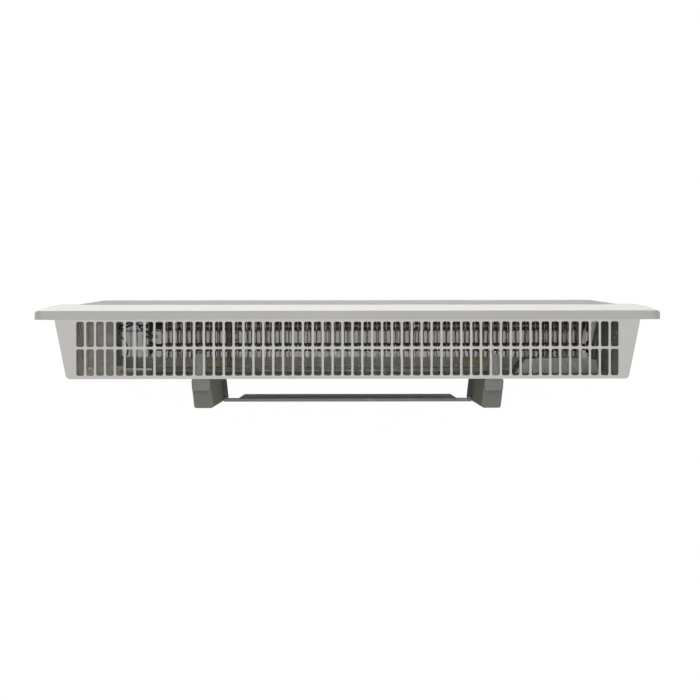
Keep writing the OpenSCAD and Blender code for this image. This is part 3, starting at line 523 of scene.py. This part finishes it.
def smooth_route(points, steps=8):
    """Points of a smooth curve through chosen points."""
    ends = [2 * points[0] - points[1], *points, 2 * points[-1] - points[-2]]
    route = []
    for i in range(1, len(points)):
        a, b, c, d = ends[i - 1:i + 3]
        for k in range(steps):
            t = k / steps
            route.append(0.5 * (2 * b + (c - a) * t + (2 * a - 5 * b + 4 * c - d) * t * t
                                + (3 * b - a - 3 * c + d) * t * t * t))
    return route + [points[-1]]


def joint(name):
    """Place and direction of a joint's axis."""
    for each in frame["joints"]:
        if each["name"] == name:
            return Vector(each.get("pos_m", (0, 0, 0))), Vector(each["axis"])
    raise ValueError("no joint named " + name)


def below_top(points):
    """Places of points in millimetres, whose heights are counted from the heater's top."""
    top = CAD_BOX[1][2]
    return [Vector((x / MM_PER_M, y / MM_PER_M, top + z / MM_PER_M)) for x, y, z in points]


def side_frame():
    """Matrix of the slanted side wall at the knob's axis, with X out of the wall and Z up."""
    place, out = joint("knob_turn")
    out.normalize()
    up = Vector((0, 0, 1))
    back = up.cross(out)
    turn = Matrix((out, back, up)).transposed().to_4x4()
    return Matrix.Translation(place) @ turn


# ---------------------------------------------------------------- operators


class MakesHeater:
    """Shared by the operators below."""

    bl_options = {"REGISTER", "UNDO"}

    @property
    def colours(self):
        return bpy.context.scene.heater_colours

    @property
    def sizes(self):
        return bpy.context.scene.heater_sizes


class PaintCasing(MakesHeater, bpy.types.Operator):
    """Powder coat on the casing, the grilles and the front panel."""

    bl_idname = "heater.paint_casing"
    bl_label = "Paint the casing"

    def execute(self, context):
        casing = tuple(self.colours.casing)
        dress(powder_coat("casing_coat", casing), "top_grille")
        # Painted shade: the inlet grille's up-facing faces are darkened strongly.
        dress(powder_coat("inlet_coat", casing, up_shade=1.0, dull=0.46), "bottom_grille")
        # Painted light: the tray's inner faces take the lighter inside colour.
        dress(powder_coat("tray_coat", casing, inside=tuple(self.colours.inside)), "rear_tray")
        # Painted shade: the panel's up-facing rim is darkened.
        dress(powder_coat("panel_coat", tuple(self.colours.panel), 1.2, 0.48, 0.75), "front_panel")
        dress(bright_metal("screw_zinc", (0.55, 0.55, 0.54), 0.32), "panel_screws")
        return {"FINISHED"}


class FinishBracket(MakesHeater, bpy.types.Operator):
    """Paint on the wall bracket and zinc on its hooks."""

    bl_idname = "heater.finish_bracket"
    bl_label = "Finish the bracket"

    def execute(self, context):
        paint = tuple(self.colours.bracket)
        dress(bracket_paint("plate_paint", shaded(paint, 1.15)), "bracket_plate")
        dress(bracket_paint("arm_paint", shaded(paint, 1.17), 0.0, 0.72),
              "bracket_arm_left", "bracket_arm_right")
        dress(zinc("hook_zinc", tuple(self.colours.zinc)), "hook_left", "hook_right")
        return {"FINISHED"}


class FinishDuct(MakesHeater, bpy.types.Operator):
    """Plain sheet of the hand grip, the shields and the catches."""

    bl_idname = "heater.finish_duct"
    bl_label = "Finish the duct"

    def execute(self, context):
        dress(plain_steel("lining_sheet", tuple(self.colours.lining), 0.2), "front_shield",
              "compartment_wall")
        dress(plain_steel("pocket_sheet", shaded(self.colours.lining, 0.62), 0.4), "grip_pocket")
        dress(plain_steel("shield_sheet", tuple(self.colours.shield), 0.4), "rear_shield")
        dress(bracket_paint("catch_paint", tuple(self.colours.catch)),
              "lower_catch_left", "lower_catch_right")
        return {"FINISHED"}


class FinishElement(MakesHeater, bpy.types.Operator):
    """Heating rods, fins, supports and terminals."""

    bl_idname = "heater.finish_element"
    bl_label = "Finish the heating element"

    def execute(self, context):
        dress(oxidised_rod("rod_sheath", tuple(self.colours.rods)),
              "heating_rod_front", "heating_rod_rear")
        dress(fin_sheet("fin_sheet", tuple(self.colours.fins)), "element_fins")
        dress(plain_steel("support_steel", (0.24, 0.265, 0.26), 0.3, 0.5),
              "element_support_left", "element_support_right")
        dress(plain_steel("strap_steel", (0.12, 0.115, 0.105), 0.5, 0.5), "cutout_strap")
        dress(moulded("bush_ceramic", (0.10, 0.09, 0.08), 0.7, 0.00006, 1400), "ceramic_bushes")
        dress(bright_metal("terminal_steel", (0.5, 0.5, 0.48), 0.35),
              "terminal_nuts", "centre_terminal")
        dress(bright_metal("link_brass", (0.52, 0.40, 0.18), 0.32), "post_link", "jumper_link")
        dress(moulded("cutout_plastic", (0.03, 0.03, 0.03), 0.45), "thermal_cutout")
        return {"FINISHED"}


class FinishCompartment(MakesHeater, bpy.types.Operator):
    """Cover, screws, terminals and gland of the control compartment."""

    bl_idname = "heater.finish_compartment"
    bl_label = "Finish the control compartment"

    def execute(self, context):
        dress(plain_steel("cover_sheet", tuple(self.colours.cover), 0.35, 0.5), "compartment_cover")
        dress(bright_metal("cover_brass", (0.18, 0.155, 0.10), 0.55), "cover_screws", "earth_stud")
        dress(moulded("terminal_plastic", (0.62, 0.58, 0.48), 0.45), "terminal_block")
        dress(moulded("gland_plastic", (0.03, 0.03, 0.03), 0.5), "cord_gland")
        return {"FINISHED"}


class FinishControls(MakesHeater, bpy.types.Operator):
    """Plastic and metal of the thermostat and the switch."""

    bl_idname = "heater.finish_controls"
    bl_label = "Finish the controls"

    def execute(self, context):
        dress(moulded("fascia_plastic", tuple(self.colours.plastic), 0.4, 0.00003),
              "control_fascia")
        dress(moulded("knob_plastic", shaded(self.colours.plastic, 0.94), 0.34, 0.00002),
              "thermostat_knob")
        dress(bright_metal("shaft_steel", (0.6, 0.6, 0.6), 0.25), "thermostat_shaft")
        dress(moulded("thermostat_plastic", (0.10, 0.05, 0.03), 0.5), "thermostat_body")
        dress(moulded("switch_plastic", (0.025, 0.025, 0.025), 0.4),
              "switch_body", "rocker_half_power")
        dress(moulded("rocker_red", (0.52, 0.03, 0.02), 0.22, 0.00001), "rocker_mains")
        return {"FINISHED"}


class AddDialMarks(MakesHeater, bpy.types.Operator):
    """Ring of plain marks round the knob, printed on the fascia."""

    bl_idname = "heater.dial_marks"
    bl_label = "Add the dial marks"

    def execute(self, context):
        ink = moulded("mark_ink", (0.16, 0.16, 0.16), 0.5)
        place = side_frame()
        shape = Shape("dial_marks", Count=self.sizes.marks, Ring=self.sizes.mark_ring,
                      Length=0.0022, Width=0.0005, Thickness=0.0001)
        ring = shape.node("GeometryNodeCurveArc", None, Resolution=shape.given("Count"),
                          Radius=shape.given("Ring"), Start_Angle=DIAL_START,
                          Sweep_Angle=DIAL_SWEEP)
        points = shape.node("GeometryNodeCurveToPoints", {"mode": "EVALUATED"}, Curve=ring)
        tangent = shape.node("GeometryNodeInputTangent")
        turn = shape.node("FunctionNodeAlignRotationToVector", {"axis": "Y"}, Vector=tangent)
        size = shape.node("ShaderNodeCombineXYZ", X=shape.given("Length"), Y=shape.given("Width"),
                          Z=shape.given("Thickness"))
        mark = shape.node("GeometryNodeMeshCube", Size=size)
        marks = shape.node("GeometryNodeInstanceOnPoints", Points=points, Instance=mark,
                           Rotation=turn)
        piece = shape.finish("dial_marks", marks, ink)
        outwards = Matrix.Rotation(math.radians(90), 4, "Y")
        piece.data.transform(place @ Matrix.Translation((FASCIA_FACE, 0, 0)) @ outwards)
        enter(piece, "heater")
        return {"FINISHED"}


class AddRockerMarks(MakesHeater, bpy.types.Operator):
    """Plain strokes and rings on the two rockers."""

    bl_idname = "heater.rocker_marks"
    bl_label = "Add the rocker marks"

    def execute(self, context):
        ink = moulded("rocker_ink", (0.75, 0.75, 0.73), 0.45, 0.00001)
        for body, joint_name, side in (("rocker_mains", "rocker_mains_tilt", -1),
                                       ("rocker_half_power", "rocker_half_power_tilt", 1)):
            pivot, hinge = joint(joint_name)
            across = hinge.normalized()
            out = across.cross(Vector((0, 0, 1)))
            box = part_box(body)
            middle = (Vector(box[0]) + Vector(box[1])) / 2
            start = pivot + across * (middle - pivot).dot(across)
            frame_of = Matrix((out, across, Vector((0, 0, 1)))).transposed().to_4x4()
            rest = Matrix.Translation(start) @ frame_of @ Matrix.Rotation(ROCKER_REST, 4, "Y")
            shape = Shape(body + "_marks", Stroke=0.0006, Height=0.0034, Thickness=0.00012,
                          Ring=0.0013, Line=0.00025)
            stroke_size = shape.node("ShaderNodeCombineXYZ", X=shape.given("Thickness"),
                                     Y=shape.given("Stroke"), Z=shape.given("Height"))
            stroke = shape.node("GeometryNodeMeshCube", Size=stroke_size)
            upper = shape.node("GeometryNodeTransform", Geometry=stroke,
                               Translation=(STROKE_FACE, 0, ROCKER_MARK_REACH),
                               Rotation=(0, ROCKER_SLANT, 0))
            circle = shape.node("GeometryNodeCurvePrimitiveCircle", Resolution=28,
                                Radius=shape.given("Ring"))
            outline = shape.node("GeometryNodeCurvePrimitiveCircle", Resolution=6,
                                 Radius=shape.given("Line"))
            ring = shape.node("GeometryNodeCurveToMesh", Curve=circle, Profile_Curve=outline)
            lower = shape.node("GeometryNodeTransform", Geometry=ring,
                               Translation=(RING_FACE, 0, -ROCKER_MARK_REACH),
                               Rotation=(0, math.radians(90) - ROCKER_SLANT, 0))
            both = shape.tree.nodes.new("GeometryNodeJoinGeometry")
            for part in (upper, lower):
                shape.tree.links.new(part, both.inputs[0])
            piece = shape.finish(body + "_marks", both.outputs[0], ink)
            piece.data.transform(rest)
            enter(piece, body)
        return {"FINISHED"}


class AddWires(MakesHeater, bpy.types.Operator):
    """Insulated wires between the compartment and the element."""

    bl_idname = "heater.wires"
    bl_label = "Add the wires"

    def execute(self, context):
        routes = {
            "blue": ((0.10, 0.17, 0.42), (
                (268, -35.7, -128.7), (268, -37, -118), (264, -50, -104), (259, -68, -108),
                (256.5, -77, -130), (256.5, -78, -158), (252.5, -78.2, -168.4), (247, -81, -178),
                (243, -84, -198), (241, -85.5, -240), (238.5, -79, -275), (229, -72.5, -298),
                (227, -70.5, -307.1))),
            "brown": ((0.15, 0.11, 0.085), (
                (276.5, -35.7, -128.7), (276, -38, -116), (268, -54, -100), (261, -72, -106),
                (257, -82, -135), (257, -83, -162), (252.5, -81.6, -171.6), (249.5, -84.5, -186),
                (249, -86.5, -235), (250, -86, -280), (243, -84, -298), (240.5, -83, -307.1))),
            "earth": ((0.32, 0.44, 0.05), (
                (259.5, -35.7, -128.7), (259.5, -37, -120), (262, -40, -110), (264, -39.5, -98.3))),
        }
        for name, (colour, points) in routes.items():
            sleeve = insulation(name + "_insulation", colour)
            piece = tube_along(name + "_wire", smooth_route(below_top(points)), self.sizes.wire,
                               sleeve)
            enter(piece, "heater", ("wire_" + name,))
        dress(bright_metal("capillary_copper", (0.17, 0.125, 0.10), 0.5),
              "capillary", "sensor_bulb")
        return {"FINISHED"}


class AddBonding(MakesHeater, bpy.types.Operator):
    """Earth leads that lie on the compartment's cover, from its screw to the front panel."""

    bl_idname = "heater.bonding"
    bl_label = "Add the earth leads"

    def execute(self, context):
        top = CAD_BOX[1][2]
        striped = insulation("bond_stripe", (0.21, 0.195, 0.09))
        dull = insulation("bond_dull", (0.20, 0.165, 0.12))
        routes = {
            "bond_lead": (striped, "earth_insulation", (
                (262.3, -39.5, -7.0), (263.6, -45, -6.7), (264, -58, -6.7), (264, -74, -6.7),
                (264, -86, -6.6), (264, -91, -7.6), (264, -94.5, -10.5))),
            "bond_return": (dull, "brown_insulation", (
                (262.5, -41, -7.0), (266, -50, -6.7), (268.5, -60, -6.7), (270, -72, -6.7),
                (271.8, -86, -6.6), (272.4, -91.5, -7.6), (272.4, -94.5, -10.5))),
        }
        for name, (sleeve, slot, points) in routes.items():
            piece = tube_along(name, smooth_route(below_top(points)), self.sizes.wire * 0.85,
                               sleeve)
            enter(piece, "heater")
        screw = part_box("cover_screws")
        eye_x = screw[1][0] - EYE_INSET
        eye_y = (screw[0][1] + screw[1][1]) / 2
        shape = Shape("bond_eye", Outer=0.0042, Inner=0.0017, Height=0.0005, Bore=0.01)
        whole = shape.node("GeometryNodeMeshCylinder", Vertices=32, Radius=shape.given("Outer"),
                           Depth=shape.given("Height"))
        bore = shape.node("GeometryNodeMeshCylinder", Vertices=32, Radius=shape.given("Inner"),
                          Depth=shape.given("Bore"))
        eye = shape.node("GeometryNodeMeshBoolean", {"operation": "DIFFERENCE"}, Mesh_1=whole,
                         Mesh_2=bore)
        piece = shape.finish("bond_eye", eye, bright_metal("bond_tin", (0.20, 0.19, 0.16), 0.5))
        piece.data.transform(Matrix.Translation((eye_x, eye_y, top - COVER_DROP + EYE_RISE)))
        enter(piece, "heater")
        return {"FINISHED"}


class AddBackDetails(MakesHeater, bpy.types.Operator):
    """Thin lead along the rear shield, spring wire and rivets on the far side wall."""

    bl_idname = "heater.back_details"
    bl_label = "Add the details at the back"

    def execute(self, context):
        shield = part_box("rear_shield")
        lip = shield[1][2] + 0.0006
        front = shield[0][1]
        lead = [Vector((0.215, front + 0.0012, lip)), Vector((0.12, front + 0.0016, lip)),
                Vector((0.0, front + 0.0014, lip)), Vector((-0.09, front + 0.0008, lip)),
                Vector((-0.145, front - 0.0004, lip + 0.001)),
                Vector((-0.19, front - 0.002, lip + 0.002))]
        piece = tube_along("back_lead", smooth_route(lead), self.sizes.lead,
                           insulation("lead_grey", (0.36, 0.36, 0.35)), 10)
        enter(piece, "heater")
        wire = below_top(((-290.5, -78, -262), (-290, -74.5, -270), (-287.8, -62, -272),
                          (-285, -46.8, -270)))
        bright = bright_metal("spring_wire", (0.72, 0.72, 0.70), 0.4)
        piece = tube_along("spring_wire", smooth_route(wire), self.sizes.spring, bright, 10)
        enter(piece, "heater")
        front, rear = below_top(((-291.5, -75.5, -134), (-290.5, -70.5, -140)))
        shape = Shape("wall_rivets", Radius=0.0016, Front=front, Rear=rear)
        line = shape.node("GeometryNodeMeshLine", {"mode": "END_POINTS", "count_mode": "TOTAL"},
                          Count=2, Start_Location=shape.given("Front"), Offset=shape.given("Rear"))
        head = shape.node("GeometryNodeMeshUVSphere", Segments=16, Rings=10,
                          Radius=shape.given("Radius"))
        heads = shape.node("GeometryNodeInstanceOnPoints", Points=line, Instance=head)
        piece = shape.finish("wall_rivets", heads, bright)
        piece.data.shade_smooth()
        enter(piece, "heater")
        return {"FINISHED"}


class AddWelds(MakesHeater, bpy.types.Operator):
    """Weld beads where the bracket's plate meets its arms."""

    bl_idname = "heater.welds"
    bl_label = "Add the welds"

    def execute(self, context):
        bead = bright_metal("weld_bead", (0.34, 0.34, 0.32), 0.38)
        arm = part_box("bracket_arm_right")
        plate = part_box("bracket_plate")
        for side, name in ((-1, "weld_left"), (1, "weld_right")):
            shape = Shape(name, Radius=0.0021, Beads=7, Reach=Vector((0, 0, WELD_LENGTH)),
                          Smallest=0.75, Largest=1.1)
            line = shape.node("GeometryNodeMeshLine", {"mode": "END_POINTS", "count_mode": "TOTAL"},
                              Count=shape.given("Beads"), Offset=shape.given("Reach"))
            chance = shape.node("FunctionNodeRandomValue", {"data_type": "FLOAT"}, out=1,
                                Seed=3 + side)
            size = shape.node("ShaderNodeMapRange", Value=chance, To_Min=shape.given("Smallest"),
                              To_Max=shape.given("Largest"))
            ball = shape.node("GeometryNodeMeshUVSphere", Segments=16, Rings=10,
                              Radius=shape.given("Radius"))
            beads = shape.node("GeometryNodeInstanceOnPoints", Points=line, Instance=ball,
                               Scale=size)
            piece = shape.finish(name, beads, bead)
            place = (side * (arm[0][0] - WELD_INSET), plate[0][1] - WELD_FRONT,
                     plate[1][2] - WELD_DROP)
            piece.data.transform(Matrix.Translation(place))
            piece.data.shade_smooth()
            enter(piece, "bracket")
        return {"FINISHED"}


class BuildStudio(MakesHeater, bpy.types.Operator):
    """Floor, lamps, room light and camera."""

    bl_idname = "heater.studio"
    bl_label = "Build the studio"

    def lamp(self, name, power, place, towards, width, depth, seen=True):
        """A soft rectangular lamp that points at the heater, and may itself be hidden."""
        light = bpy.data.lights.new(name, "AREA")
        light.shape = "RECTANGLE"
        light.size = width
        light.size_y = depth
        light.energy = power
        lamp = bpy.data.objects.new(name, light)
        lamp.location = place
        lamp.visible_camera = seen
        lamp.visible_glossy = seen
        lamp.rotation_euler = (Vector(towards) - Vector(place)).to_track_quat("-Z", "Y").to_euler()
        bpy.context.scene.collection.objects.link(lamp)

    def execute(self, context):
        scene = context.scene
        studio = scene.heater_studio
        scene.view_settings.view_transform = "Standard"

        sheet = bpy.data.meshes.new("floor")
        corners = ((-1, -1), (1, -1), (1, 1), (-1, 1))
        sheet.from_pydata([(x * FLOOR_REACH, y * FLOOR_REACH, studio.floor) for x, y in corners],
                          [], [(0, 1, 2, 3)])
        ground = Finish("floor_white")
        seen = ground.node("ShaderNodeLightPath", out="Is Camera Ray")
        through = ground.node("ShaderNodeLightPath", out="Is Transmission Ray")
        matte = ground.node("ShaderNodeBsdfDiffuse", Color=(0.8, 0.8, 0.8))
        # Painted shadow: where the heater hides the sky from the floor, under it and through its
        # grilles, the glow seen by the camera dims from white to grey.
        open_sky = ground.node("ShaderNodeAmbientOcclusion", {"samples": 8}, Distance=0.5, out="AO")
        glow = ground.node("ShaderNodeEmission", Color=(1, 1, 1),
                           Strength=ground.steps(open_sky, 0.15, 0.32, 0.24, 1.06))
        surface = ground.node("ShaderNodeMixShader", None, (seen + through) * 0.9, matte, glow)
        ground.node("ShaderNodeOutputMaterial", None, surface, out=None)
        sheet.materials.append(ground.material)
        floor = bpy.data.objects.new("floor", sheet)
        scene.collection.objects.link(floor)

        world = bpy.data.worlds.new("room")
        room = Shading(world)
        scene.world = world
        direct = room.node("ShaderNodeMath", {"operation": "MAXIMUM"},
                           room.node("ShaderNodeLightPath", out="Is Camera Ray"),
                           room.node("ShaderNodeLightPath", out="Is Glossy Ray"))
        strength = room.node("ShaderNodeMapRange", None, Value=direct, To_Min=studio.room,
                             To_Max=1.0)
        background = room.node("ShaderNodeBackground", None, Color=(1, 1, 1), Strength=strength)
        room.node("ShaderNodeOutputWorld", None, background, out=None)

        self.lamp("front_lamp", studio.front_lamp, place=(0.3, -2.2, 0.6), towards=(0, -0.06, 0.02),
                  width=2.4, depth=1.6)
        self.lamp("rear_lamp", studio.rear_lamp, place=(-0.5, 2.2, 0.5), towards=(0, -0.06, 0.02),
                  width=2.4, depth=1.6)
        self.lamp("top_lamp", studio.top_lamp, place=(0, -0.085, 2.06), towards=(0, -0.085, 0),
                  width=0.45, depth=0.35)
        self.lamp("low_lamp", studio.low_lamp, place=(0, -0.06, -0.1892), towards=(0, -0.06, 0),
                  width=0.54, depth=0.05, seen=False)

        data = bpy.data.cameras.new("camera")
        data.lens = studio.lens
        data.sensor_width = 36
        data.clip_start = 0.05
        camera = bpy.data.objects.new("camera", data)
        turn = Matrix.Rotation(math.pi, 4, "Z")
        for angle, axis in zip(studio.aim, "XYZ"):
            turn = turn @ Matrix.Rotation(angle, 4, axis)
        camera.matrix_world = Matrix.Translation(Vector(studio.camera)) @ turn
        scene.collection.objects.link(camera)
        scene.camera = camera
        return {"FINISHED"}


OPERATORS = (BuildStudio, PaintCasing, FinishBracket, FinishDuct, FinishElement, FinishCompartment,
             FinishControls, AddDialMarks, AddRockerMarks, AddWires, AddBonding, AddBackDetails,
             AddWelds)


class HeaterPanel(bpy.types.Panel):
    """Settings and steps of the heater."""

    bl_idname = "VIEW3D_PT_heater"
    bl_label = "Convector Heater"
    bl_space_type = "VIEW_3D"
    bl_region_type = "UI"
    bl_category = "Heater"

    def draw(self, context):
        for group in (context.scene.heater_colours, context.scene.heater_sizes,
                      context.scene.heater_studio):
            box = self.layout.box()
            for key in group.__annotations__:
                box.prop(group, key)
        for each in OPERATORS:
            self.layout.operator(each.bl_idname)


CLASSES = (HeaterColours, HeaterSizes, HeaterStudio, *OPERATORS, HeaterPanel)


def register():
    for each in CLASSES:
        bpy.utils.register_class(each)
    bpy.types.Scene.heater_colours = PointerProperty(type=HeaterColours)
    bpy.types.Scene.heater_sizes = PointerProperty(type=HeaterSizes)
    bpy.types.Scene.heater_studio = PointerProperty(type=HeaterStudio)


def unregister():
    del bpy.types.Scene.heater_studio
    del bpy.types.Scene.heater_sizes
    del bpy.types.Scene.heater_colours
    for each in reversed(CLASSES):
        bpy.utils.unregister_class(each)


def main():
    register()
    for each in OPERATORS:
        group, name = each.bl_idname.split(".")
        getattr(getattr(bpy.ops, group), name)()


if __name__ == "__main__":
    main()
